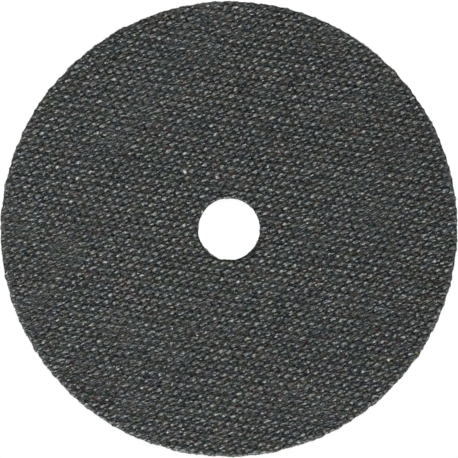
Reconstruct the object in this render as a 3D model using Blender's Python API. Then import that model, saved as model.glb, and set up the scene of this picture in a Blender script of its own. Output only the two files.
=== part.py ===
"""A resin-bonded cut-off wheel of 75 x 1.2 x 10 mm, lying on its back face.

The wheel is one pressed piece of grit. It starts as a round blank, a spindle bore goes through it, and the plain-woven
cloth that lined the press leaves a diamond pit under each crown of its threads, all over the front face.
Units are metres, +Z is the wheel's axis, and the origin is the centre of the bore at half the thickness.
"""

import math

import bmesh
import bpy
from mathutils import Matrix, Vector

# The wheel.
WHEEL_DIAMETER = 0.075
BORE_DIAMETER = 0.01015  # a 10 mm spindle and the slack it needs
THICKNESS = 0.0012  # from the back face to the crests of the front face

# The cloth that lined the press. Its threads run over and under its picks by turns.
THREAD_PITCH = 0.00076  # from one thread to the next, along a pick
PICK_PITCH = 0.00119  # from one pick to the next, along a thread
THREAD_ANGLE = math.radians(25.0)  # from +X to the threads
PICK_LEAN = math.radians(2.1)  # how far the picks are from square to the threads
FIRST_CROWN = (-0.00043, -0.00004)  # where the crown nearest the wheel's axis is
IMPRINT_DEPTH = 0.00015  # how deep a crown sinks in

# How the shapes are made.
RIM_FACETS = 128
BORE_FACETS = 64
CUTTER_REACH = 0.001  # how far a cutter runs past what it cuts, and the blank past its finished front face

BLACK_GRIT = (0.06, 0.064, 0.062, 1.0)
GRIT_ROUGHNESS = 0.55


def clear_scene():
    """Removes whatever the scene holds."""
    for obj in list(bpy.data.objects):
        bpy.data.objects.remove(obj, do_unlink=True)


def new_collection(name):
    """Returns a new collection of the scene."""
    collection = bpy.data.collections.new(name)
    bpy.context.scene.collection.children.link(collection)
    return collection


def grit_material():
    """Returns the black grit and resin of the wheel."""
    material = bpy.data.materials.new("resin_bonded_grit")
    material.use_nodes = True
    shader = material.node_tree.nodes["Principled BSDF"]
    shader.inputs["Base Color"].default_value = BLACK_GRIT
    shader.inputs["Roughness"].default_value = GRIT_ROUGHNESS
    shader.inputs["Metallic"].default_value = 0.0
    return material


def round_bar(name, collection, diameter, low, high, facets):
    """Returns a bar about the wheel's axis, from z = low to z = high, with a smooth round side."""
    bpy.ops.mesh.primitive_cylinder_add(
        vertices=facets,
        radius=diameter / 2,
        depth=high - low,
        location=(0.0, 0.0, (low + high) / 2),
    )
    bar = bpy.context.active_object
    bar.name = name
    for holder in list(bar.users_collection):
        holder.objects.unlink(bar)
    collection.objects.link(bar)
    for face in bar.data.polygons:
        face.use_smooth = abs(face.normal.z) < 0.5
    return bar


def crown_steps():
    """Returns the steps from a crown to its two neighbours: one pick on, and one thread to the right or the left."""
    pick_angle = THREAD_ANGLE + math.radians(90.0) - PICK_LEAN
    along = PICK_PITCH * Vector((math.cos(THREAD_ANGLE), math.sin(THREAD_ANGLE), 0.0))
    across = THREAD_PITCH * Vector((math.cos(pick_angle), math.sin(pick_angle), 0.0))
    return along - across, along + across


def close_above(mesh, rise):
    """Closes an open sheet into a solid: its border goes up by the rise, and one face lies across the top."""
    border = [edge for edge in mesh.edges if edge.is_boundary]
    walls = bmesh.ops.extrude_edge_only(mesh, edges=border)["geom"]
    corners = [item for item in walls if isinstance(item, bmesh.types.BMVert)]
    bmesh.ops.translate(mesh, verts=corners, vec=(0.0, 0.0, rise))
    brim = [item for item in walls if isinstance(item, bmesh.types.BMEdge) and item.is_boundary]
    bmesh.ops.edgeloop_fill(mesh, edges=brim)
    bmesh.ops.recalc_face_normals(mesh, faces=mesh.faces)


def press_cloth(collection):
    """Returns the cloth as a cutter: a sheet of diamonds at the height of the crests, each poked down to a crown."""
    right, left = crown_steps()
    row_width = right.cross(left).z / max(right.length, left.length)
    reach = WHEEL_DIAMETER / 2 + CUTTER_REACH
    rows = 2 * math.ceil(reach / row_width) + 1
    mesh = bmesh.new()
    bmesh.ops.create_grid(mesh, x_segments=rows, y_segments=rows, size=rows / 2)
    diamonds = Matrix.Identity(4)
    diamonds.col[0] = right.to_4d() - Vector((0.0, 0.0, 0.0, 1.0))
    diamonds.col[1] = left.to_4d() - Vector((0.0, 0.0, 0.0, 1.0))
    diamonds.col[3] = (*FIRST_CROWN, THICKNESS / 2, 1.0)
    mesh.transform(diamonds)
    bmesh.ops.poke(mesh, faces=mesh.faces, offset=-IMPRINT_DEPTH)
    close_above(mesh, 2 * CUTTER_REACH)
    data = bpy.data.meshes.new("press_cloth")
    mesh.to_mesh(data)
    mesh.free()
    cloth = bpy.data.objects.new("press_cloth", data)
    collection.objects.link(cloth)
    return cloth


def cut(obj, cutter):
    """Takes the cutter's shape out of the object, and keeps the cutter itself out of the render."""
    cutter.hide_render = True
    cutter.display_type = "WIRE"
    boolean = obj.modifiers.new("cut_by_" + cutter.name, "BOOLEAN")
    boolean.operation = "DIFFERENCE"
    boolean.solver = "EXACT"
    boolean.object = cutter


def build():
    clear_scene()
    collection = new_collection("cut_off_wheel")
    cutters = new_collection("cutters")
    back = -THICKNESS / 2
    blank_top = THICKNESS / 2 + CUTTER_REACH
    wheel = round_bar("cut_off_wheel", collection, WHEEL_DIAMETER, back, blank_top, RIM_FACETS)
    punch = round_bar("bore_punch", cutters, BORE_DIAMETER, back - CUTTER_REACH, blank_top + CUTTER_REACH, BORE_FACETS)
    cut(wheel, punch)
    cut(wheel, press_cloth(cutters))
    wheel.data.materials.append(grit_material())


build()
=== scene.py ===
"""The look of a resin-bonded cut-off wheel, laid out as an add-on and run as a script.

A flat round blank of fine triangles is pressed by a Geometry Nodes tree that follows the plain-woven cloth in the
press, and a procedural material gives it grit, resin and gloss. Lengths are in metres.
"""

import math

import bpy
import numpy as np
from bpy.props import FloatProperty, FloatVectorProperty, IntProperty, PointerProperty
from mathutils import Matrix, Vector
from mathutils.geometry import delaunay_2d_cdt


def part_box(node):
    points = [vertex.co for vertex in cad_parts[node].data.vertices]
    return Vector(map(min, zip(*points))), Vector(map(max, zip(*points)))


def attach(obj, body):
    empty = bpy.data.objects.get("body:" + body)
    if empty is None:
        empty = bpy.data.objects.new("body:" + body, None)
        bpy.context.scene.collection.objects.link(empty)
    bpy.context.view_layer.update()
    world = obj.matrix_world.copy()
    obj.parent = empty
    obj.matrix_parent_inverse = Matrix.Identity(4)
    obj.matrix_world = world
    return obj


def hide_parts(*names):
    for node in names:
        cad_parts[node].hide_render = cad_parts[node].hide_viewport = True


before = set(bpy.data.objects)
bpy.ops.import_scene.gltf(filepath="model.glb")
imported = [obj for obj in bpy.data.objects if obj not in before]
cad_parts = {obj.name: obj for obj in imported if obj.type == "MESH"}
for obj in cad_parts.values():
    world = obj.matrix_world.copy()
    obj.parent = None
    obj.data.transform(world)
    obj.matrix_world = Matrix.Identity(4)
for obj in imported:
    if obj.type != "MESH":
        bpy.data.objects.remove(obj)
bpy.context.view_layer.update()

bl_info = {
    "name": "Cut-off wheel",
    "version": (1, 0, 0),
    "blender": (4, 5, 0),
    "location": "View3D > Sidebar > Cut-off wheel",
    "description": "Builds a resin-bonded cut-off wheel with a woven imprint, and a plain studio for it",
    "category": "Object",
}

NODE = "cut_off_wheel"
LOW, HIGH = (Vector(corner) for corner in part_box(NODE))
MM = 0.001
WEAVE_ATTRIBUTE = "weave"  # picks and threads counted from the first crown, and the share of the imprint that took

# The blank's triangles. The lattice of its faces is the cloth's own, so that each pit is sampled alike.
FRONT_POINTS = (4, 4)  # to each pick along a thread, and to each thread
BACK_POINTS = (2, 1)
RIM_POINTS = 900
BORE_POINTS = 124
WALL_ROWS = 4
CLEAR_STRIP = 0.55  # beside an edge there are no lattice points, within this share of their wider spacing
MERGE_DISTANCE = 1e-9  # far below the points' spacing, so that none are merged
SHARP_ANGLE = math.radians(60.0)  # where the faces turn by more, the shading has an edge

# How fast a pit grows shallower, as shares of the imprint's depth: towards the other kind of crossing, and half way
# to the next crossing along a thread and across it.
CROWN_FALLS = (("crossing", 0.676), ("along", 0.083), ("across", -0.026))
KNUCKLE_FALLS = (("crossing", 0.004), ("along", 0.395), ("across", 0.142))

# The wheel's settings that the press takes.
PRESS_NUMBERS = (
    "Diameter", "Bore", "Ovality", "Long axis", "Thread pitch", "Pick pitch", "Thread angle", "Pick lean",
    "Imprint depth", "Knuckle share", "Twist", "Wander", "Wander length", "Unevenness", "Patch fade", "Patch length",
    "Grain height", "Grain length", "Grain stretch", "Rim roughness", "Bore roughness", "Frayed width", "Lip width",
    "Seed",
)
PRESS_VECTORS = ("First crown", "Lean", "Thread bow", "Pick bow", "Knuckle shift")

# The press's other values.
NOTCH_LENGTH = 1.4 * MM  # size of the notches in the rim and the bore
NOISE_SWING = 4.0  # turns a noise's usual swing, a quarter of its range, into the whole of it
RIM_SET_BACK = 0.2  # how far the rim lies back on the whole, as a share of its roughness
RIM_FADING = 0.5  # how fast the imprint fades away from the axis, in patches' fading per diameter
OVAL_POWER = 6.0  # how quickly the oval turns round, from the rim towards the axis

# The material's patterns.
CLOUD_LENGTH = 1.6 * MM  # of the clouds of colour
RAGGED_LENGTH = 0.5 * MM  # of the ragged outlines of the marks and the worn spots
RAGGED_REACH = 0.4 * MM  # how far the outlines of the marks stray, from end to end
BARE_SPACING = 1.3 * MM  # between the grains that might be bare
BARE_CHANCE = 0.975  # a grain is bare where its chance is above this
BARE_RADII = (0.16, 0.08)  # from resin to bare grain, as shares of the spacing
MARK_CORE = 0.5  # the share of a mark's width that has its full colour
SPECULAR_TINT = (0.955, 1.0, 0.98, 1.0)  # the resin's gloss is a trace greener than the lamp
SEEDS_APART = 7.0  # between one noise of the material and the next

# Between which values of its noise each pattern goes from one end to the other.
SPANS = {
    "low tint": (0.5, 0.28),
    "high tint": (0.5, 0.72),
    "film": (0.3, 0.7),
    "worn and lit spots": (0.4, 0.6),
    "pore shade": (0.5, 0.65),
    "gloss": (0.35, 0.65),
    "patches": (0.48, 0.72),
    "clumps": (0.25, 0.75),
    "notches": (0.2, 0.8),
}

# The stage.
FLOOR_RADIUS = 4.0  # wide enough to have no edge in any view
FLOOR_POINTS = 96
CARD_WHITE = 0.8  # how much light the floor throws back at the wheel
FLOOR_GLOW = 0.965  # how white it shows by itself
FLOOR_TRACE = 0.05  # how much of the lamp's light it shows, so that the wheel's shadow stays
SENSOR_WIDTH = 36.0  # millimetres

# Where the cloth hardly took: the place from the axis and how far it reaches, in millimetres.
FADED = (
    ("above the bore", -7.5, 29.0, 6.0),
    ("at the top", -2.7, 34.7, 5.0),
    ("at the upper right", 16.2, 30.8, 5.0),
    ("at the right", 23.4, 1.9, 4.5),
    ("at the far right", 28.0, 12.4, 4.5),
    ("at the lower right", 16.2, -30.8, 5.0),
    ("at the lower left", -17.5, -17.0, 5.5),
    ("at the left", -34.7, 0.2, 5.0),
)

# Marks on the front face: where each is from the axis and how wide, in millimetres, and its colour.
MARKS = (
    ("olive stain at the bore", -4.7, 3.1, 0.55, "#4d523c"),
    ("pale chip at the bore", -4.45, 2.75, 0.28, "#b4b8a6"),
    ("brown grain", -5.83, 3.05, 0.5, "#574e40"),
    ("pale grain", -7.3, 9.45, 0.34, "#e4e1d9"),
    ("duller pale grain", -2.0, 8.5, 0.3, "#b4b1a9"),
    ("red brown grains near the top", -1.9, 35.0, 0.7, "#33211f"),
    ("red brown grains above the bore", -6.0, 22.2, 0.6, "#2f2021"),
    ("brown grains near the upper right", 11.8, 29.9, 0.6, "#332c22"),
    ("red brown grains at the upper right", 21.0, 15.5, 0.7, "#3b2820"),
    ("red brown grains above the bore's right", 8.5, 12.7, 0.6, "#3f2a24"),
    ("red speck above the bore", 0.3, 18.9, 0.3, "#553630"),
    ("brown lobe at the right", 27.8, -8.5, 0.5, "#4c3c37"),
    ("brown grains at the lower right", 20.6, -12.8, 0.7, "#3d342e"),
    ("red brown grains right of the bore", 14.7, -8.8, 0.5, "#432c27"),
    ("yellow speck near the rim", 30.8, -20.3, 0.26, "#a89c66"),
    ("pale speck at the lower right", 26.2, -21.6, 0.26, "#c2b896"),
)


def linear(hex_colour):
    """Turns an sRGB hex colour into linear RGBA."""
    parts = [int(hex_colour[i:i + 2], 16) / 255 for i in (1, 3, 5)]
    return (*(p / 12.92 if p <= 0.04045 else ((p + 0.055) / 1.055) ** 2.4 for p in parts), 1.0)


def add(tree, kind, inputs=(), **settings):
    """Adds a node with its settings, and sets or links its inputs."""
    node = tree.nodes.new(kind)
    for key, value in settings.items():
        setattr(node, key, value)
    for key, value in dict(inputs).items():
        if isinstance(value, bpy.types.NodeSocket):
            tree.links.new(value, node.inputs[key])
        else:
            node.inputs[key].default_value = value
    return node


def span(name):
    """Returns the inputs of a Map Range node for a pattern's span."""
    return {"From Min": SPANS[name][0], "From Max": SPANS[name][1]}


def length_prop(name, description, default):
    """Returns a setting that is a length."""
    return FloatProperty(name=name, description=description, default=default, unit="LENGTH", precision=6)


def angle_prop(name, description, degrees):
    """Returns a setting that is an angle."""
    return FloatProperty(name=name, description=description, default=math.radians(degrees), subtype="ANGLE")


def share_prop(name, description, default):
    """Returns a setting that is a share of something."""
    return FloatProperty(name=name, description=description, default=default, subtype="FACTOR")


def pair_prop(name, description, default, precision=4, **options):
    """Returns a setting that is two numbers, such as one along a thread and one across it."""
    return FloatVectorProperty(name=name, description=description, default=default, size=2, precision=precision,
                               **options)


def colour_prop(name, description, hex_colour):
    """Returns a setting that is a colour."""
    return FloatVectorProperty(name=name, description=description, default=linear(hex_colour), size=4,
                               subtype="COLOR")


class WheelSettings(bpy.types.PropertyGroup):
    """The sizes and colours of the wheel."""

    diameter: length_prop("Diameter", "Outer diameter", HIGH.x - LOW.x)
    bore: length_prop("Bore", "Diameter of the spindle bore", 10.15 * MM)
    ovality: length_prop("Ovality", "How much longer its long axis is than its short one", 0.5 * MM)
    long_axis: angle_prop("Long axis", "From +X to the long axis", 32.0)
    thickness: length_prop("Thickness", "From the crests of one face to those of the other", HIGH.z - LOW.z)
    thread_pitch: length_prop("Thread pitch", "From one thread of the press cloth to the next", 0.76 * MM)
    pick_pitch: length_prop("Pick pitch", "From one pick of the press cloth to the next", 1.19 * MM)
    thread_angle: angle_prop("Thread angle", "From +X to the threads", 25.0)
    pick_lean: angle_prop("Pick lean", "How far the picks are from square to the threads", 2.1)
    first_crown: FloatVectorProperty(name="First crown", description="The crown nearest the axis",
                                     default=(-0.566 * MM, -0.015 * MM, 0.0), subtype="TRANSLATION")
    imprint_depth: length_prop("Imprint depth", "Depth of the wide pits, where a thread is over a pick", 0.143 * MM)
    knuckle_share: share_prop("Knuckle share", "Depth of the narrow pits, where a pick is over a thread, to the wide",
                              0.643)
    twist: share_prop("Twist", "How much the twist of the yarn turns the pits", 0.151)
    lean: pair_prop("Lean", "How much deeper a pit is on one side, along a thread and across it", (0.098, -0.240))
    thread_bow: pair_prop("Thread bow", "How far a thread bows between two picks, in pitches", (0.017, 0.003))
    pick_bow: pair_prop("Pick bow", "How far a pick bows between two threads, in pitches", (-0.006, 0.029))
    knuckle_shift: pair_prop("Knuckle shift", "How far the narrow pits are from half way, in pitches", (-0.021, -0.075))
    wander: length_prop("Wander", "How far the cloth's threads stray from their straight line", 0.053 * MM)
    wander_length: length_prop("Wander length", "Over which the threads stray and come back", 5.0 * MM)
    unevenness: share_prop("Unevenness", "How much one crown's depth differs from the next's", 0.146)
    patch_fade: share_prop("Patch fade", "How much of the imprint is lost in the grainy patches", 0.596)
    patch_length: length_prop("Patch length", "Size of the grainy patches", 7.0 * MM)
    grain_height: length_prop("Grain height", "How far the grit stands out under the resin", 0.02 * MM)
    grain_length: length_prop("Grain length", "Size of the clumps of grit", 0.365 * MM)
    grain_stretch: share_prop("Grain stretch", "How much longer the clumps are along a thread", 3.0)
    rim_roughness: length_prop("Rim roughness", "How far the rim is broken back and stands out", 0.38 * MM)
    bore_roughness: length_prop("Bore roughness", "How far the bore's wall is from round", 0.26 * MM)
    frayed_width: length_prop("Frayed width", "Beside an edge, within which the face follows it", 1.5 * MM)
    lip_width: length_prop("Lip width", "Beside an edge, within which the imprint fades out", 0.15 * MM)
    fine_height: length_prop("Fine grain height", "Relief of the single grains", 0.015 * MM)
    fine_length: length_prop("Fine grain length", "Size of the single grains", 0.28 * MM)
    fine_stretch: share_prop("Fine grain stretch", "How much longer they are along a thread", 1.9)
    line_heights: pair_prop("Line heights", "Of the finest lines of the yarn, across the threads and along them",
                            (0.0034 * MM, 0.0029 * MM), precision=6, unit="LENGTH")
    line_phases: pair_prop("Line phases", "Where those lines start, in radians", (-1.233, -0.043))
    seed: IntProperty(name="Seed", description="Of everything uneven", default=3)
    glossy: share_prop("Glossy roughness", "Where resin covers the grit", 0.277)
    matt: share_prop("Matt roughness", "Where the resin is worn or porous", 0.449)
    gloss_length: length_prop("Gloss length", "Size of the glossy and the matt spots", 0.303 * MM)
    film_length: length_prop("Film length", "From where the resin is thick to where it is thin", 1.4 * MM)
    film_change: share_prop("Film change", "How much paler thin resin is, and blacker thick", 0.14)
    # The tone lean makes the colour and the gloss paler towards one side of the face and darker towards the other.
    tone_lean: pair_prop("Tone lean", "How much paler the face gets from its middle to its rim, by axis", (-0.1, -0.1))
    # Painted shade in the pores: the size of its spots, and how much darker it makes the colour and the gloss.
    pore_shade_length: length_prop("Pore shade length", "Size of the open pores between the grains", 0.2 * MM)
    pore_shade_depth: share_prop("Pore shade depth", "How much of the light the pores swallow", 0.717)
    # The rim's paler band is partly worn grit and partly a painted highlight of the edge.
    worn_and_lit_width: length_prop("Worn and lit width", "How far in from the rim it has lost its resin", 0.9 * MM)
    resin_colour: colour_prop("Resin colour", "The black resin over the grit", "#232927")
    worn_and_lit_colour: colour_prop("Worn and lit colour", "Grit that has lost its resin", "#5c5d5a")
    warm_colour: colour_prop("Warm colour", "Resin thinned over brown grit", "#38221c")
    cool_colour: colour_prop("Cool colour", "Resin thinned over grey grit", "#0f2530")
    olive_colour: colour_prop("Olive colour", "Resin that cured a little green", "#252a12")
    violet_colour: colour_prop("Violet colour", "Resin over the darkest grit", "#201829")
    pale_colour: colour_prop("Pale grain colour", "A bare grain of white grit", "#b9b39a")


class StudioSettings(bpy.types.PropertyGroup):
    """The camera, the lamp and the ambient light."""

    frame_width: length_prop("Frame width", "What the camera sees across, at the wheel's face", 75.27 * MM)
    lens: FloatProperty(name="Lens", description="Focal length", default=1500.0, unit="CAMERA")
    frame_middle: pair_prop("Frame middle", "Where the frame's middle is from the axis", (-0.014 * MM, 0.014 * MM),
                            precision=6, subtype="TRANSLATION")
    lamp_azimuth: angle_prop("Lamp azimuth", "From +X to the lamp", 90.8)
    lamp_elevation: angle_prop("Lamp elevation", "From the floor up to the lamp", 65.8)
    lamp_distance: length_prop("Lamp distance", "From the wheel to the lamp", 8.0)
    lamp_size: length_prop("Lamp size", "Side of the square soft lamp", 2.80)
    lamp_level: FloatProperty(name="Lamp level", description="What a white card facing the lamp shows as",
                              default=0.899)
    ambient_level: FloatProperty(name="Ambient level", description="What the room alone shows a white card as",
                                 default=0.16)


def face_points(settings, along, across):
    """Returns the points of a face on the cloth's own lattice, with so many to each pick and thread."""
    step_s = settings.pick_pitch / along
    step_t = settings.thread_pitch / across
    angle_s = settings.thread_angle
    angle_t = settings.thread_angle + math.radians(90.0) - settings.pick_lean
    count = int(settings.diameter / min(step_s, step_t))
    steps = np.arange(-count, count + 1)
    s, t = np.meshgrid(steps * step_s, steps * step_t)
    x = settings.first_crown[0] + s * math.cos(angle_s) + t * math.cos(angle_t)
    y = settings.first_crown[1] + s * math.sin(angle_s) + t * math.sin(angle_t)
    radius = np.hypot(x, y)
    clear = CLEAR_STRIP * max(step_s, step_t)
    inside = (radius > settings.bore / 2 + clear) & (radius < settings.diameter / 2 - clear)
    return np.column_stack([x[inside], y[inside]])


def ring(radius, count):
    """Returns the points of a circle about the axis."""
    angle = np.arange(count) * 2 * math.pi / count
    return np.column_stack([radius * np.cos(angle), radius * np.sin(angle)])


def triangulate(points, bore_radius):
    """Returns the triangles between the rim and the bore, whose rings are the first points."""
    loops = [(i, (i + 1) % RIM_POINTS) for i in range(RIM_POINTS)]
    loops += [(RIM_POINTS + (i + 1) % BORE_POINTS, RIM_POINTS + i) for i in range(BORE_POINTS)]
    vectors, _, triangles, *_ = delaunay_2d_cdt([Vector(p) for p in points], loops, [], 1, MERGE_DISTANCE)
    found = np.array([tuple(v) for v in vectors])
    triangles = np.array(triangles)
    middle = np.linalg.norm(found[triangles].mean(axis=1), axis=1)
    return triangles[middle > bore_radius]


def blank_mesh(settings):
    """Returns the flat blank: two faces of triangles, joined by rows of quads at the rim and in the bore.

    Its attribute called level goes from 1 on the front face to -1 on the back.
    """
    rings = np.vstack([ring(settings.diameter / 2, RIM_POINTS), ring(settings.bore / 2, BORE_POINTS)])
    points, levels, faces = [], [], []
    start = 0
    for level, density in ((1.0, FRONT_POINTS), (-1.0, BACK_POINTS)):
        face = np.vstack([rings, face_points(settings, *density)])
        triangles = start + triangulate(face, settings.bore / 2)
        points.append(face)
        levels.append(np.full(len(face), level))
        faces += (triangles if level > 0 else triangles[:, ::-1]).tolist()
        start += len(face)
    ring_points = np.arange(len(rings))
    row_starts = [0]
    for row in range(1, WALL_ROWS):
        points.append(rings)
        levels.append(np.full(len(rings), 1.0 - 2.0 * row / WALL_ROWS))
        row_starts.append(start)
        start += len(rings)
    row_starts.append(len(levels[0]))
    for upper, lower in zip(row_starts, row_starts[1:]):
        for first, count in ((0, RIM_POINTS), (RIM_POINTS, BORE_POINTS)):
            a = ring_points[first:first + count]
            b = np.roll(a, -1)
            wall = np.column_stack([upper + a, lower + a, lower + b, upper + b])
            faces += (wall if first == 0 else wall[:, ::-1]).tolist()
    points, levels = np.vstack(points), np.concatenate(levels)
    mesh = bpy.data.meshes.new("blank")
    mesh.from_pydata(np.column_stack([points, levels * settings.thickness / 2]).tolist(), [], faces)
    mesh.attributes.new("level", "FLOAT", "POINT").data.foreach_set("value", levels.astype(np.float32))
    mesh.update()
    return mesh


def cloth_place(tree, given, position):
    """Adds where a point is on the cloth: s counts picks along a thread, and t counts threads along a pick."""
    scale = add(tree, "ShaderNodeMath", {0: 1.0, 1: given["Wander length"]}, operation="DIVIDE").outputs[0]
    sway = add(tree, "ShaderNodeTexNoise",
               {"Vector": position, "W": given["Seed"], "Scale": scale, "Detail": 2.0, "Roughness": 0.6},
               noise_dimensions="4D").outputs["Color"]
    sway = add(tree, "ShaderNodeVectorMath", {0: sway, 1: (0.5, 0.5, 0.5)}, operation="SUBTRACT").outputs[0]
    reach = add(tree, "ShaderNodeMath", {0: given["Wander"], 1: NOISE_SWING}, operation="MULTIPLY").outputs[0]
    sway = add(tree, "ShaderNodeVectorMath", {0: sway, "Scale": reach}, operation="SCALE").outputs[0]
    moved = add(tree, "ShaderNodeVectorMath", {0: position, 1: given["First crown"]}, operation="SUBTRACT")
    moved = add(tree, "ShaderNodeVectorMath", {0: moved.outputs[0], 1: sway}, operation="ADD")
    turned = add(tree, "ShaderNodeVectorRotate", {"Vector": moved.outputs[0], "Angle": given["Thread angle"]},
                 rotation_type="Z_AXIS", invert=True)
    flat = add(tree, "ShaderNodeSeparateXYZ", {0: turned.outputs[0]}).outputs
    lean_tangent = add(tree, "ShaderNodeMath", {0: given["Pick lean"]}, operation="TANGENT").outputs[0]
    lean_cosine = add(tree, "ShaderNodeMath", {0: given["Pick lean"]}, operation="COSINE").outputs[0]
    leaned = add(tree, "ShaderNodeMath", {0: flat["Y"], 1: lean_tangent}, operation="MULTIPLY").outputs[0]
    along = add(tree, "ShaderNodeMath", {0: flat["X"], 1: leaned}, operation="SUBTRACT").outputs[0]
    s = add(tree, "ShaderNodeMath", {0: along, 1: given["Pick pitch"]}, operation="DIVIDE").outputs[0]
    across = add(tree, "ShaderNodeMath", {0: flat["Y"], 1: lean_cosine}, operation="DIVIDE").outputs[0]
    t = add(tree, "ShaderNodeMath", {0: across, 1: given["Thread pitch"]}, operation="DIVIDE").outputs[0]
    return s, t


def pit_depth(tree, given, s, t):
    """Adds how deep the cloth sinks in: a wide pit under each crown, a narrow one under each knuckle."""
    place = add(tree, "ShaderNodeCombineXYZ", {"X": s, "Y": t}).outputs[0]
    turn = add(tree, "ShaderNodeVectorMath", {0: place, "Scale": math.pi}, operation="SCALE").outputs[0]
    sine = add(tree, "ShaderNodeVectorMath", {0: turn}, operation="SINE").outputs[0]
    # Nothing at a crossing of thread and pick, and 1 half way to the next, where the yarn bows to one side.
    half_way = add(tree, "ShaderNodeVectorMath", {0: sine, 1: sine}, operation="MULTIPLY").outputs[0]
    half_way = add(tree, "ShaderNodeSeparateXYZ", {0: half_way}).outputs
    for name, share in (("Thread bow", half_way["X"]), ("Pick bow", half_way["Y"])):
        bow = add(tree, "ShaderNodeVectorMath", {0: given[name], "Scale": share}, operation="SCALE").outputs[0]
        place = add(tree, "ShaderNodeVectorMath", {0: place, 1: bow}, operation="ADD").outputs[0]
    # As shares of the imprint's depth, each pit is deepest at its crossing and falls away round it.
    pits = []
    for sense, deepest, shift, falls in (
        (-1.0, 1.0, (0.0, 0.0, 0.0), CROWN_FALLS),
        (1.0, given["Knuckle share"], given["Knuckle shift"], KNUCKLE_FALLS),
    ):
        own = add(tree, "ShaderNodeVectorMath", {0: place, 1: shift}, operation="SUBTRACT").outputs[0]
        turn = add(tree, "ShaderNodeVectorMath", {0: own, "Scale": math.pi}, operation="SCALE").outputs[0]
        cosine = add(tree, "ShaderNodeVectorMath", {0: turn}, operation="COSINE").outputs[0]
        sine = add(tree, "ShaderNodeVectorMath", {0: turn}, operation="SINE").outputs[0]
        # Each pit is a little deeper on one side.
        side = add(tree, "ShaderNodeVectorMath", {0: cosine, 1: sine}, operation="MULTIPLY").outputs[0]
        pit = add(tree, "ShaderNodeVectorMath", {0: side, 1: given["Lean"]}, operation="DOT_PRODUCT").outputs["Value"]
        pit = add(tree, "ShaderNodeMath", {0: pit, 1: deepest}, operation="ADD").outputs[0]
        # Nothing at a crossing, and 2 half way to the next.
        square = add(tree, "ShaderNodeVectorMath", {0: sine, 1: sine}, operation="MULTIPLY").outputs[0]
        square = add(tree, "ShaderNodeSeparateXYZ", {0: square}).outputs
        cosine = add(tree, "ShaderNodeSeparateXYZ", {0: cosine}).outputs
        sine = add(tree, "ShaderNodeSeparateXYZ", {0: sine}).outputs
        fall = {}
        for name, axis in (("along", "X"), ("across", "Y")):
            fall[name] = add(tree, "ShaderNodeMath", {0: square[axis], 1: 2.0}, operation="MULTIPLY").outputs[0]
        # The weave is +1 where a thread is over a pick, and -1 where it is under. The yarn's twist turns the pits.
        turned = add(tree, "ShaderNodeMath", {0: sine["X"], 1: sine["Y"]}, operation="MULTIPLY").outputs[0]
        turned = add(tree, "ShaderNodeMath", {0: turned, 1: given["Twist"]}, operation="MULTIPLY").outputs[0]
        weave = add(tree, "ShaderNodeMath", {0: cosine["X"], 1: cosine["Y"], 2: turned},
                    operation="MULTIPLY_ADD").outputs[0]
        # Nothing at this kind of crossing, and 2 at the other.
        fall["crossing"] = add(tree, "ShaderNodeMath", {0: weave, 1: sense, 2: 1.0},
                               operation="MULTIPLY_ADD").outputs[0]
        for name, share in falls:
            pit = add(tree, "ShaderNodeMath", {0: fall[name], 1: -share, 2: pit}, operation="MULTIPLY_ADD").outputs[0]
        pits.append(pit)
    deeper = add(tree, "ShaderNodeMath", {0: pits[0], 1: pits[1]}, operation="MAXIMUM").outputs[0]
    share = add(tree, "ShaderNodeMath", {0: deeper, 1: 0.0}, operation="MAXIMUM").outputs[0]
    return add(tree, "ShaderNodeMath", {0: share, 1: given["Imprint depth"]}, operation="MULTIPLY").outputs[0]


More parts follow.
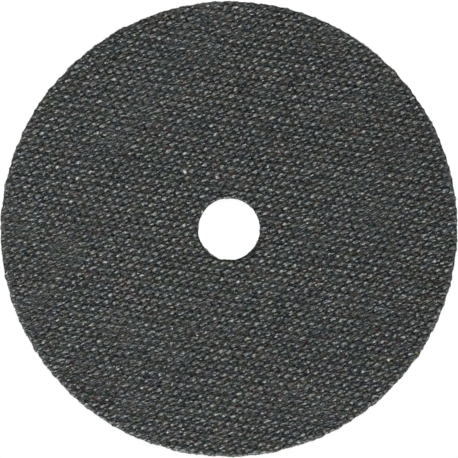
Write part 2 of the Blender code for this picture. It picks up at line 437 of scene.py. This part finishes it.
def imprint_share(tree, given, position, s, t):
    """Adds how much of the imprint took: it differs from crown to crown, and fades in patches and towards the rim."""
    # Crowns lie where s + t is even, so half the sum and half the difference count them.
    half = {}
    for name, operation in (("sum", "ADD"), ("difference", "SUBTRACT")):
        both = add(tree, "ShaderNodeMath", {0: s, 1: t}, operation=operation).outputs[0]
        both = add(tree, "ShaderNodeMath", {0: both, 1: 0.5}, operation="MULTIPLY").outputs[0]
        half[name] = add(tree, "ShaderNodeMath", {0: both}, operation="ROUND").outputs[0]
    crown = add(tree, "ShaderNodeCombineXYZ", {"X": half["sum"], "Y": half["difference"], "Z": given["Seed"]})
    chance = add(tree, "ShaderNodeTexWhiteNoise", {"Vector": crown.outputs[0]}, noise_dimensions="3D")
    own = add(tree, "ShaderNodeMapRange", {"Value": chance.outputs["Value"], "To Min": -1.0, "To Max": 1.0})
    gain = add(tree, "ShaderNodeMath", {0: own.outputs[0], 1: given["Unevenness"], 2: 1.0},
               operation="MULTIPLY_ADD").outputs[0]
    scale = add(tree, "ShaderNodeMath", {0: 1.0, 1: given["Patch length"]}, operation="DIVIDE").outputs[0]
    patch = add(tree, "ShaderNodeTexNoise", {"Vector": position, "W": given["Seed"], "Scale": scale, "Detail": 2.0},
                noise_dimensions="4D").outputs["Fac"]
    patch = add(tree, "ShaderNodeMapRange", {"Value": patch, **span("patches")},
                interpolation_type="SMOOTHSTEP").outputs[0]
    for name, x, y, reach in FADED:
        away = add(tree, "ShaderNodeVectorMath", {0: position, 1: (x * MM, y * MM, 0.0)}, operation="DISTANCE")
        faded = add(tree, "ShaderNodeMapRange", {"Value": away.outputs["Value"], "From Min": reach * MM,
                                                 "From Max": 0.0}, interpolation_type="SMOOTHSTEP", label=name)
        patch = add(tree, "ShaderNodeMath", {0: patch, 1: faded.outputs[0]}, operation="MAXIMUM").outputs[0]
    # It also took a little less towards the rim.
    radius = add(tree, "ShaderNodeVectorMath", {0: position}, operation="LENGTH").outputs["Value"]
    outer = add(tree, "ShaderNodeMath", {0: radius, 1: given["Diameter"]}, operation="DIVIDE").outputs[0]
    patch = add(tree, "ShaderNodeMath", {0: outer, 1: RIM_FADING, 2: patch}, operation="MULTIPLY_ADD").outputs[0]
    lost = add(tree, "ShaderNodeMath", {0: patch, 1: given["Patch fade"]}, operation="MULTIPLY").outputs[0]
    kept = add(tree, "ShaderNodeMath", {0: 1.0, 1: lost}, operation="SUBTRACT").outputs[0]
    return add(tree, "ShaderNodeMath", {0: gain, 1: kept}, operation="MULTIPLY").outputs[0]


def grain_depth(tree, given, position):
    """Adds the hollows between the clumps of grit, which the threads drew out a little along themselves."""
    turned = add(tree, "ShaderNodeVectorRotate", {"Vector": position, "Angle": given["Thread angle"]},
                 rotation_type="Z_AXIS", invert=True).outputs[0]
    narrow = add(tree, "ShaderNodeMath", {0: 1.0, 1: given["Grain length"]}, operation="DIVIDE").outputs[0]
    wide = add(tree, "ShaderNodeMath", {0: narrow, 1: given["Grain stretch"]}, operation="DIVIDE").outputs[0]
    scale = add(tree, "ShaderNodeCombineXYZ", {"X": wide, "Y": narrow, "Z": narrow}).outputs[0]
    place = add(tree, "ShaderNodeVectorMath", {0: turned, 1: scale}, operation="MULTIPLY").outputs[0]
    grain = add(tree, "ShaderNodeTexNoise",
                {"Vector": place, "W": given["Seed"], "Scale": 1.0, "Detail": 1.0, "Roughness": 0.5},
                noise_dimensions="4D").outputs["Fac"]
    grain = add(tree, "ShaderNodeMapRange", {"Value": grain, **span("clumps")}).outputs[0]
    return add(tree, "ShaderNodeMath", {0: grain, 1: given["Grain height"]}, operation="MULTIPLY").outputs[0]


def oval_offset(tree, given, position):
    """Adds how far the wheel is from round. It shows at the rim, and fades quickly towards the axis."""
    flat = add(tree, "ShaderNodeVectorMath", {0: position, 1: (1.0, 1.0, 0.0)}, operation="MULTIPLY").outputs[0]
    reach = add(tree, "ShaderNodeVectorMath", {0: flat}, operation="LENGTH").outputs["Value"]
    reach = add(tree, "ShaderNodeMath", {0: reach, 1: given["Diameter"]}, operation="DIVIDE").outputs[0]
    reach = add(tree, "ShaderNodeMath", {0: reach, 1: 2.0}, operation="MULTIPLY").outputs[0]
    fading = add(tree, "ShaderNodeMath", {0: reach, 1: OVAL_POWER}, operation="POWER").outputs[0]
    stretch = add(tree, "ShaderNodeMath", {0: given["Ovality"], 1: given["Diameter"]}, operation="DIVIDE").outputs[0]
    stretch = add(tree, "ShaderNodeMath", {0: stretch, 1: 0.5}, operation="MULTIPLY").outputs[0]
    stretch = add(tree, "ShaderNodeMath", {0: stretch, 1: fading}, operation="MULTIPLY").outputs[0]
    turned = add(tree, "ShaderNodeVectorRotate", {"Vector": flat, "Angle": given["Long axis"]},
                 rotation_type="Z_AXIS", invert=True).outputs[0]
    pulled = add(tree, "ShaderNodeVectorMath", {0: turned, 1: (1.0, -1.0, 0.0)}, operation="MULTIPLY").outputs[0]
    pulled = add(tree, "ShaderNodeVectorMath", {0: pulled, "Scale": stretch}, operation="SCALE").outputs[0]
    return add(tree, "ShaderNodeVectorRotate", {"Vector": pulled, "Angle": given["Long axis"]},
               rotation_type="Z_AXIS").outputs[0]


def edge_offset(tree, given, position):
    """Adds how far the ragged rim and bore are from round, and a mask that is 0 at both edges."""
    flat = add(tree, "ShaderNodeVectorMath", {0: position, 1: (1.0, 1.0, 0.0)}, operation="MULTIPLY").outputs[0]
    radius = add(tree, "ShaderNodeVectorMath", {0: flat}, operation="LENGTH").outputs["Value"]
    outward = add(tree, "ShaderNodeVectorMath", {0: flat}, operation="NORMALIZE").outputs[0]
    ragged = add(tree, "ShaderNodeTexNoise",
                 {"Vector": position, "W": given["Seed"], "Scale": 1.0 / NOTCH_LENGTH, "Detail": 4.0,
                  "Roughness": 0.65}, noise_dimensions="4D").outputs["Fac"]
    ragged = add(tree, "ShaderNodeMapRange", {"Value": ragged, **span("notches"), "To Min": -1.0, "To Max": 1.0},
                 clamp=False).outputs[0]
    shifts, gaps = [], []
    for name, roughness, sense, set_back in (
        ("Diameter", "Rim roughness", 1.0, RIM_SET_BACK),
        ("Bore", "Bore roughness", -1.0, 0.0),
    ):
        edge = add(tree, "ShaderNodeMath", {0: given[name], 1: 0.5}, operation="MULTIPLY").outputs[0]
        gap = add(tree, "ShaderNodeMath", {0: edge, 1: radius}, operation="SUBTRACT").outputs[0]
        gap = add(tree, "ShaderNodeMath", {0: gap, 1: sense}, operation="MULTIPLY").outputs[0]
        gaps.append(gap)
        # The face beside an edge goes along with it, less and less, so that its triangles don't fold over.
        reach = add(tree, "ShaderNodeMapRange", {"Value": gap, "From Max": given["Frayed width"],
                                                 "To Min": given[roughness], "To Max": 0.0}).outputs[0]
        share = add(tree, "ShaderNodeMath", {0: ragged, 1: set_back}, operation="SUBTRACT").outputs[0]
        shifts.append(add(tree, "ShaderNodeMath", {0: share, 1: reach}, operation="MULTIPLY").outputs[0])
    shift = add(tree, "ShaderNodeMath", {0: shifts[0], 1: shifts[1]}, operation="ADD").outputs[0]
    offset = add(tree, "ShaderNodeVectorMath", {0: outward, "Scale": shift}, operation="SCALE").outputs[0]
    nearest = add(tree, "ShaderNodeMath", {0: gaps[0], 1: gaps[1]}, operation="MINIMUM").outputs[0]
    inside = add(tree, "ShaderNodeMapRange", {"Value": nearest, "From Max": given["Lip width"]},
                 interpolation_type="SMOOTHSTEP").outputs[0]
    return offset, inside


def press_tree():
    """Returns the tree that presses the cloth into a blank, and the inputs that it takes."""
    tree = bpy.data.node_groups.new("press", "GeometryNodeTree")
    sockets = {}
    for kind, names in (
        ("Geometry", ("Blank",)), ("Float", PRESS_NUMBERS), ("Vector", PRESS_VECTORS), ("Material", ("Material",)),
    ):
        for name in names:
            sockets[name] = tree.interface.new_socket(name=name, in_out="INPUT", socket_type="NodeSocket" + kind)
    tree.interface.new_socket(name="Wheel", in_out="OUTPUT", socket_type="NodeSocketGeometry")
    given = add(tree, "NodeGroupInput").outputs
    position = add(tree, "GeometryNodeInputPosition").outputs[0]
    edge, inside = edge_offset(tree, given, position)
    oval = oval_offset(tree, given, position)
    outline = add(tree, "ShaderNodeVectorMath", {0: edge, 1: oval}, operation="ADD").outputs[0]
    position = add(tree, "ShaderNodeVectorMath", {0: position, 1: outline}, operation="ADD").outputs[0]
    s, t = cloth_place(tree, given, position)
    took = imprint_share(tree, given, position, s, t)
    pits = pit_depth(tree, given, s, t)
    pressed = add(tree, "ShaderNodeMath", {0: pits, 1: took}, operation="MULTIPLY").outputs[0]
    grain = grain_depth(tree, given, position)
    level = add(tree, "GeometryNodeInputNamedAttribute", {"Name": "level"}, data_type="FLOAT").outputs["Attribute"]
    front = add(tree, "ShaderNodeMath", {0: level, 1: 0.0}, operation="MAXIMUM").outputs[0]
    inside = add(tree, "ShaderNodeMath", {0: inside, 1: front}, operation="MULTIPLY").outputs[0]
    sunk = add(tree, "ShaderNodeMath", {0: pressed, 1: inside, 2: grain}, operation="MULTIPLY_ADD").outputs[0]
    rise = add(tree, "ShaderNodeMath", {0: sunk, 1: level}, operation="MULTIPLY").outputs[0]
    rise = add(tree, "ShaderNodeMath", {0: rise, 1: -1.0}, operation="MULTIPLY").outputs[0]
    upright = add(tree, "ShaderNodeCombineXYZ", {"Z": rise}).outputs[0]
    offset = add(tree, "ShaderNodeVectorMath", {0: outline, 1: upright}, operation="ADD").outputs[0]
    # The material needs the place on the cloth too, and how much of the imprint took there.
    shown = add(tree, "ShaderNodeMath", {0: took, 1: front}, operation="MULTIPLY").outputs[0]
    weave = add(tree, "ShaderNodeCombineXYZ", {"X": s, "Y": t, "Z": shown}).outputs[0]
    woven = add(tree, "GeometryNodeStoreNamedAttribute",
                {"Geometry": given["Blank"], "Name": WEAVE_ATTRIBUTE, "Value": weave},
                data_type="FLOAT_VECTOR", domain="POINT").outputs[0]
    shaped = add(tree, "GeometryNodeSetPosition", {"Geometry": woven, "Offset": offset}).outputs[0]
    realized = add(tree, "GeometryNodeRealizeInstances", {0: shaped}).outputs[0]
    finished = add(tree, "GeometryNodeSetMaterial", {"Geometry": realized, "Material": given["Material"]}).outputs[0]
    add(tree, "NodeGroupOutput", {0: finished})
    return tree, sockets


def pattern_noises(tree, settings, place, drawn):
    """Adds the noise behind each pattern. Those of the resin are drawn out along the threads."""
    noises = {}
    for name, vector, length, detail in (
        ("cool to warm", place, CLOUD_LENGTH, 3.0),
        ("olive to violet", place, CLOUD_LENGTH, 3.0),
        ("ragged", place, RAGGED_LENGTH, 1.0),
        ("film", drawn, settings.film_length, 1.0),
        ("pore shade", drawn, settings.pore_shade_length, 0.0),
        ("gloss", drawn, settings.gloss_length, 0.0),
        ("grains", drawn, settings.fine_length, 0.0),
    ):
        inputs = {"Vector": vector, "W": settings.seed + SEEDS_APART * len(noises), "Scale": 1.0 / length,
                  "Detail": detail, "Roughness": 0.7}
        noises[name] = add(tree, "ShaderNodeTexNoise", inputs, noise_dimensions="4D").outputs
    return noises


def clouded_resin(tree, settings, noises):
    """Adds clouds of colour where the resin is thin. Two noises keep the two hues apart."""
    colour = settings.resin_colour
    for name, low, high in (
        ("cool to warm", settings.cool_colour, settings.warm_colour),
        ("olive to violet", settings.olive_colour, settings.violet_colour),
    ):
        for tint, reach in ((low, "low tint"), (high, "high tint")):
            share = add(tree, "ShaderNodeMapRange", {"Value": noises[name]["Fac"], **span(reach)})
            colour = add(tree, "ShaderNodeMix", {0: share.outputs[0], 6: colour, 7: tint},
                         data_type="RGBA").outputs[2]
    return colour


def film_and_tone_lean(tree, settings, place, noises):
    """Adds how pale the resin is: more where it is thin, and straight across the face towards one side, in colour and
    in gloss.
    """
    film = add(tree, "ShaderNodeMapRange",
               {"Value": noises["film"]["Fac"], **span("film"),
                "To Min": 1.0 - settings.film_change, "To Max": 1.0 + settings.film_change}).outputs[0]
    # Paler towards one side of the face, darker towards the other, in a straight gradient.
    slope = [2.0 * share / settings.diameter for share in settings.tone_lean]
    lean = add(tree, "ShaderNodeVectorMath", {0: place, 1: (*slope, 0.0)}, operation="DOT_PRODUCT").outputs["Value"]
    return add(tree, "ShaderNodeMath", {0: film, 1: lean}, operation="ADD").outputs[0]


def bare_grains(tree, settings, place, colour):
    """Adds a bare pale grain here and there, drawn two pixels of the picture wide so that it isn't lost."""
    grains = add(tree, "ShaderNodeTexVoronoi", {"Vector": place, "Scale": 1.0 / BARE_SPACING}).outputs
    chance = add(tree, "ShaderNodeSeparateColor", {0: grains["Color"]}).outputs[0]
    picked = add(tree, "ShaderNodeMath", {0: chance, 1: BARE_CHANCE}, operation="GREATER_THAN").outputs[0]
    spot = add(tree, "ShaderNodeMapRange",
               {"Value": grains["Distance"], "From Min": BARE_RADII[0], "From Max": BARE_RADII[1]})
    bare = add(tree, "ShaderNodeMath", {0: picked, 1: spot.outputs[0]}, operation="MULTIPLY").outputs[0]
    return add(tree, "ShaderNodeMix", {0: bare, 6: colour, 7: settings.pale_colour}, data_type="RGBA").outputs[2]


def single_marks(tree, flat, noises, colour):
    """Adds the listed marks, with ragged outlines."""
    stray = add(tree, "ShaderNodeVectorMath", {0: noises["ragged"]["Color"], 1: (0.5, 0.5, 0.5)},
                operation="SUBTRACT").outputs[0]
    stray = add(tree, "ShaderNodeVectorMath", {0: stray, 1: (RAGGED_REACH, RAGGED_REACH, 0.0)},
                operation="MULTIPLY").outputs[0]
    ragged = add(tree, "ShaderNodeVectorMath", {0: stray, 1: flat}, operation="ADD").outputs[0]
    for name, x, y, size, hex_colour in MARKS:
        away = add(tree, "ShaderNodeVectorMath", {0: ragged, 1: (x * MM, y * MM, 0.0)}, operation="DISTANCE")
        mark = add(tree, "ShaderNodeMapRange", {"Value": away.outputs["Value"], "From Min": size * MM,
                                                "From Max": MARK_CORE * size * MM}, label=name).outputs[0]
        colour = add(tree, "ShaderNodeMix", {0: mark, 6: colour, 7: linear(hex_colour)},
                     data_type="RGBA").outputs[2]
    return colour


def worn_and_lit_rim(tree, settings, flat, noises, colour):
    """Adds the paler spots at the rim: partly grit that has lost its resin, and partly a painted highlight of the edge.
    """
    radius = add(tree, "ShaderNodeVectorMath", {0: flat}, operation="LENGTH").outputs["Value"]
    rim = settings.diameter / 2
    edge = add(tree, "ShaderNodeMapRange", {"Value": radius, "From Min": rim - settings.worn_and_lit_width, "From Max": rim})
    spots = add(tree, "ShaderNodeMapRange", {"Value": noises["ragged"]["Fac"], **span("worn and lit spots")})
    worn_and_lit = add(tree, "ShaderNodeMath", {0: edge.outputs[0], 1: spots.outputs[0]}, operation="MULTIPLY").outputs[0]
    return add(tree, "ShaderNodeMix", {0: worn_and_lit, 6: colour, 7: settings.worn_and_lit_colour}, data_type="RGBA").outputs[2]


def yarn_lines(tree, settings):
    """Adds the height of the yarn's finest lines: three to a pair of threads, and three to a pair of picks.

    They are below the mesh's reach, so that they are the only part of the imprint that is drawn by bump.
    """
    weave = add(tree, "ShaderNodeAttribute", attribute_name=WEAVE_ATTRIBUTE).outputs["Vector"]
    lines = 0.0
    for turns, height, phase in zip(((1.0, 3.0), (3.0, 1.0)), settings.line_heights, settings.line_phases):
        rate = (math.pi * turns[0], math.pi * turns[1], 0.0)
        start = (-phase, 0.0, 0.0) if turns[0] > turns[1] else (0.0, -phase, 0.0)
        turn = add(tree, "ShaderNodeVectorMath", {0: weave, 1: rate, 2: start}, operation="MULTIPLY_ADD").outputs[0]
        wave = add(tree, "ShaderNodeVectorMath", {0: turn}, operation="COSINE").outputs[0]
        wave = add(tree, "ShaderNodeSeparateXYZ", {0: wave}).outputs
        wave = add(tree, "ShaderNodeMath", {0: wave["X"], 1: wave["Y"]}, operation="MULTIPLY").outputs[0]
        lines = add(tree, "ShaderNodeMath", {0: wave, 1: height, 2: lines}, operation="MULTIPLY_ADD").outputs[0]
    took = add(tree, "ShaderNodeSeparateXYZ", {0: weave}).outputs["Z"]
    return add(tree, "ShaderNodeMath", {0: lines, 1: took}, operation="MULTIPLY").outputs[0]


def grit_material(settings):
    """Aluminium oxide grit bonded with black phenolic resin, pressed against cloth and cured.

    To the eye it is near black and half glossy, with a little brown, blue and olive where the resin is thin, a few
    bare pale grains, and a fine grain that breaks up the gloss.
    """
    material = bpy.data.materials.new("resin_bonded_grit")
    material.use_nodes = True
    tree = material.node_tree
    shader = tree.nodes["Principled BSDF"]
    place = add(tree, "ShaderNodeTexCoord").outputs["Object"]
    flat = add(tree, "ShaderNodeVectorMath", {0: place, 1: (1.0, 1.0, 0.0)}, operation="MULTIPLY").outputs[0]
    turned = add(tree, "ShaderNodeVectorRotate", {"Vector": place, "Angle": settings.thread_angle},
                 rotation_type="Z_AXIS", invert=True).outputs[0]
    drawn = add(tree, "ShaderNodeVectorMath", {0: turned, 1: (1.0 / settings.fine_stretch, 1.0, 1.0)},
                operation="MULTIPLY").outputs[0]
    noises = pattern_noises(tree, settings, place, drawn)

    film = film_and_tone_lean(tree, settings, place, noises)
    colour = clouded_resin(tree, settings, noises)
    colour = add(tree, "ShaderNodeVectorMath", {0: colour, "Scale": film}, operation="SCALE").outputs[0]
    colour = bare_grains(tree, settings, place, colour)
    colour = single_marks(tree, flat, noises, colour)
    # Paler rim: worn grit, and a painted highlight of the edge.
    colour = worn_and_lit_rim(tree, settings, flat, noises, colour)

    # Painted shade: where the noise places a pore, the colour and the gloss are darker, standing in for the shade
    # inside it.
    pore_shade = add(tree, "ShaderNodeMapRange",
               {"Value": noises["pore shade"]["Fac"], **span("pore shade"),
                "To Min": 1.0, "To Max": 1.0 - settings.pore_shade_depth}).outputs[0]
    colour = add(tree, "ShaderNodeVectorMath", {0: colour, "Scale": pore_shade}, operation="SCALE").outputs[0]
    tree.links.new(colour, shader.inputs["Base Color"])
    # The painted pore shade dims the gloss as well as the colour.
    shine = add(tree, "ShaderNodeMath", {0: pore_shade, 1: film}, operation="MULTIPLY").outputs[0]
    shine = add(tree, "ShaderNodeMath", {0: shine, 1: 0.5}, operation="MULTIPLY").outputs[0]
    tree.links.new(shine, shader.inputs["Specular IOR Level"])
    shader.inputs["Specular Tint"].default_value = SPECULAR_TINT
    gloss = add(tree, "ShaderNodeMapRange", {"Value": noises["gloss"]["Fac"], **span("gloss"),
                                             "To Min": settings.glossy, "To Max": settings.matt})
    tree.links.new(gloss.outputs[0], shader.inputs["Roughness"])

    lines = yarn_lines(tree, settings)
    relief = add(tree, "ShaderNodeMath",
                 {0: noises["grains"]["Fac"], 1: NOISE_SWING * settings.fine_height, 2: lines},
                 operation="MULTIPLY_ADD").outputs[0]
    bump = add(tree, "ShaderNodeBump", {"Height": relief, "Distance": 1.0})
    tree.links.new(bump.outputs[0], shader.inputs["Normal"])
    return material


def setting(name):
    """Returns the name that a setting has in the script."""
    return name.lower().replace(" ", "_")


def pressed_mesh(context, settings):
    """Returns the mesh of a blank that the cloth has been pressed into."""
    blank = bpy.data.objects.new("wheel_blank", blank_mesh(settings))
    context.scene.collection.objects.link(blank)
    tree, sockets = press_tree()
    press = blank.modifiers.new("press", "NODES")
    press.node_group = tree
    values = {name: float(getattr(settings, setting(name))) for name in PRESS_NUMBERS}
    values.update((name, (*getattr(settings, setting(name)), 0.0)[:3]) for name in PRESS_VECTORS)
    values["Material"] = grit_material(settings)
    for name, value in values.items():
        press[sockets[name].identifier] = value
    evaluated = blank.evaluated_get(context.evaluated_depsgraph_get())
    mesh = bpy.data.meshes.new_from_object(evaluated)
    mesh.name = "pressed_wheel"
    mesh.shade_smooth()
    mesh.set_sharp_from_angle(angle=SHARP_ANGLE)
    bpy.data.objects.remove(blank, do_unlink=True)
    return mesh


class WHEEL_OT_build(bpy.types.Operator):
    """Builds the pressed wheel"""

    bl_idname = "wheel.build"
    bl_label = "Build the wheel"

    def execute(self, context):
        mesh = pressed_mesh(context, context.scene.wheel_settings)
        wheel = bpy.data.objects.new("pressed_wheel", mesh)
        context.scene.collection.objects.link(wheel)
        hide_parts(NODE)
        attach(wheel, "root")
        return {"FINISHED"}


def paper_material():
    """White paper, which shows white to the camera and lights the wheel from below as a pale card would."""
    paper = bpy.data.materials.new("white_paper_floor")
    paper.use_nodes = True
    tree = paper.node_tree
    tree.nodes.clear()
    path = add(tree, "ShaderNodeLightPath").outputs
    seen = add(tree, "ShaderNodeMath", {0: path["Is Camera Ray"], 1: path["Is Glossy Ray"]}, operation="MAXIMUM")
    seen = add(tree, "ShaderNodeMath", {0: seen.outputs[0], 1: path["Is Transmission Ray"]}, operation="MAXIMUM")
    matt = add(tree, "ShaderNodeBsdfDiffuse", {"Color": (CARD_WHITE, CARD_WHITE, CARD_WHITE, 1.0)})
    faint = add(tree, "ShaderNodeBsdfDiffuse", {"Color": (FLOOR_TRACE, FLOOR_TRACE, FLOOR_TRACE, 1.0)})
    glow = add(tree, "ShaderNodeEmission", {"Color": (1.0, 1.0, 1.0, 1.0), "Strength": FLOOR_GLOW})
    white = add(tree, "ShaderNodeAddShader", {0: faint.outputs[0], 1: glow.outputs[0]})
    mixed = add(tree, "ShaderNodeMixShader", {0: seen.outputs[0], 1: matt.outputs[0], 2: white.outputs[0]})
    add(tree, "ShaderNodeOutputMaterial", {"Surface": mixed.outputs[0]})
    return paper


def room(settings):
    """Returns the world: a soft light from all round, which shows white to the camera."""
    world = bpy.data.worlds.new("studio")
    world.use_nodes = True
    tree = world.node_tree
    path = add(tree, "ShaderNodeLightPath").outputs
    level = add(tree, "ShaderNodeMapRange", {"Value": path["Is Camera Ray"], "To Min": settings.ambient_level,
                                             "To Max": 1.0})
    tree.nodes["Background"].inputs["Color"].default_value = (1.0, 1.0, 1.0, 1.0)
    tree.links.new(level.outputs[0], tree.nodes["Background"].inputs["Strength"])
    return world


def soft_lamp(settings):
    """Returns the square soft lamp, turned towards the wheel."""
    lamp = bpy.data.lights.new("softbox", "AREA")
    lamp.shape = "SQUARE"
    lamp.size = settings.lamp_size
    lamp.energy = (math.pi * settings.lamp_distance) ** 2 * settings.lamp_level
    toward = Vector((math.cos(settings.lamp_elevation) * math.cos(settings.lamp_azimuth),
                     math.cos(settings.lamp_elevation) * math.sin(settings.lamp_azimuth),
                     math.sin(settings.lamp_elevation)))
    softbox = bpy.data.objects.new("softbox", lamp)
    softbox.location = toward * settings.lamp_distance
    softbox.rotation_euler = toward.to_track_quat("Z", "Y").to_euler()
    return softbox


def camera_above(settings):
    """Returns the camera, which looks straight down from so far that the frame is as wide as the setting says."""
    view = bpy.data.cameras.new("camera")
    view.lens = settings.lens
    view.sensor_width = SENSOR_WIDTH
    view.clip_start = 0.01
    camera = bpy.data.objects.new("camera", view)
    camera.location = (*settings.frame_middle, HIGH.z + settings.frame_width * settings.lens / view.sensor_width)
    return camera


class WHEEL_OT_studio(bpy.types.Operator):
    """Sets the floor, the light and the camera"""

    bl_idname = "wheel.studio"
    bl_label = "Set the studio"

    def execute(self, context):
        scene = context.scene
        settings = scene.studio_settings
        scene.view_settings.view_transform = "Standard"
        bpy.ops.mesh.primitive_circle_add(vertices=FLOOR_POINTS, radius=FLOOR_RADIUS, fill_type="NGON",
                                          location=(0.0, 0.0, LOW.z))
        floor = context.active_object
        floor.name = "floor"
        floor.data.materials.append(paper_material())
        scene.world = room(settings)
        camera = camera_above(settings)
        for item in (soft_lamp(settings), camera):
            scene.collection.objects.link(item)
        scene.camera = camera
        return {"FINISHED"}


class WHEEL_PT_panel(bpy.types.Panel):
    """The wheel's and the studio's settings and operators"""

    bl_idname = "WHEEL_PT_panel"
    bl_label = "Cut-off wheel"
    bl_space_type = "VIEW_3D"
    bl_region_type = "UI"
    bl_category = "Cut-off wheel"

    def draw(self, context):
        for settings, operator in (
            (context.scene.wheel_settings, WHEEL_OT_build),
            (context.scene.studio_settings, WHEEL_OT_studio),
        ):
            box = self.layout.box()
            for name in settings.__annotations__:
                box.prop(settings, name)
            box.operator(operator.bl_idname)


CLASSES = (WheelSettings, StudioSettings, WHEEL_OT_build, WHEEL_OT_studio, WHEEL_PT_panel)


def register():
    for cls in CLASSES:
        bpy.utils.register_class(cls)
    bpy.types.Scene.wheel_settings = PointerProperty(type=WheelSettings)
    bpy.types.Scene.studio_settings = PointerProperty(type=StudioSettings)


def unregister():
    del bpy.types.Scene.studio_settings
    del bpy.types.Scene.wheel_settings
    for cls in reversed(CLASSES):
        bpy.utils.unregister_class(cls)


def main():
    register()
    bpy.ops.wheel.build()
    bpy.ops.wheel.studio()


if __name__ == "__main__":
    main()
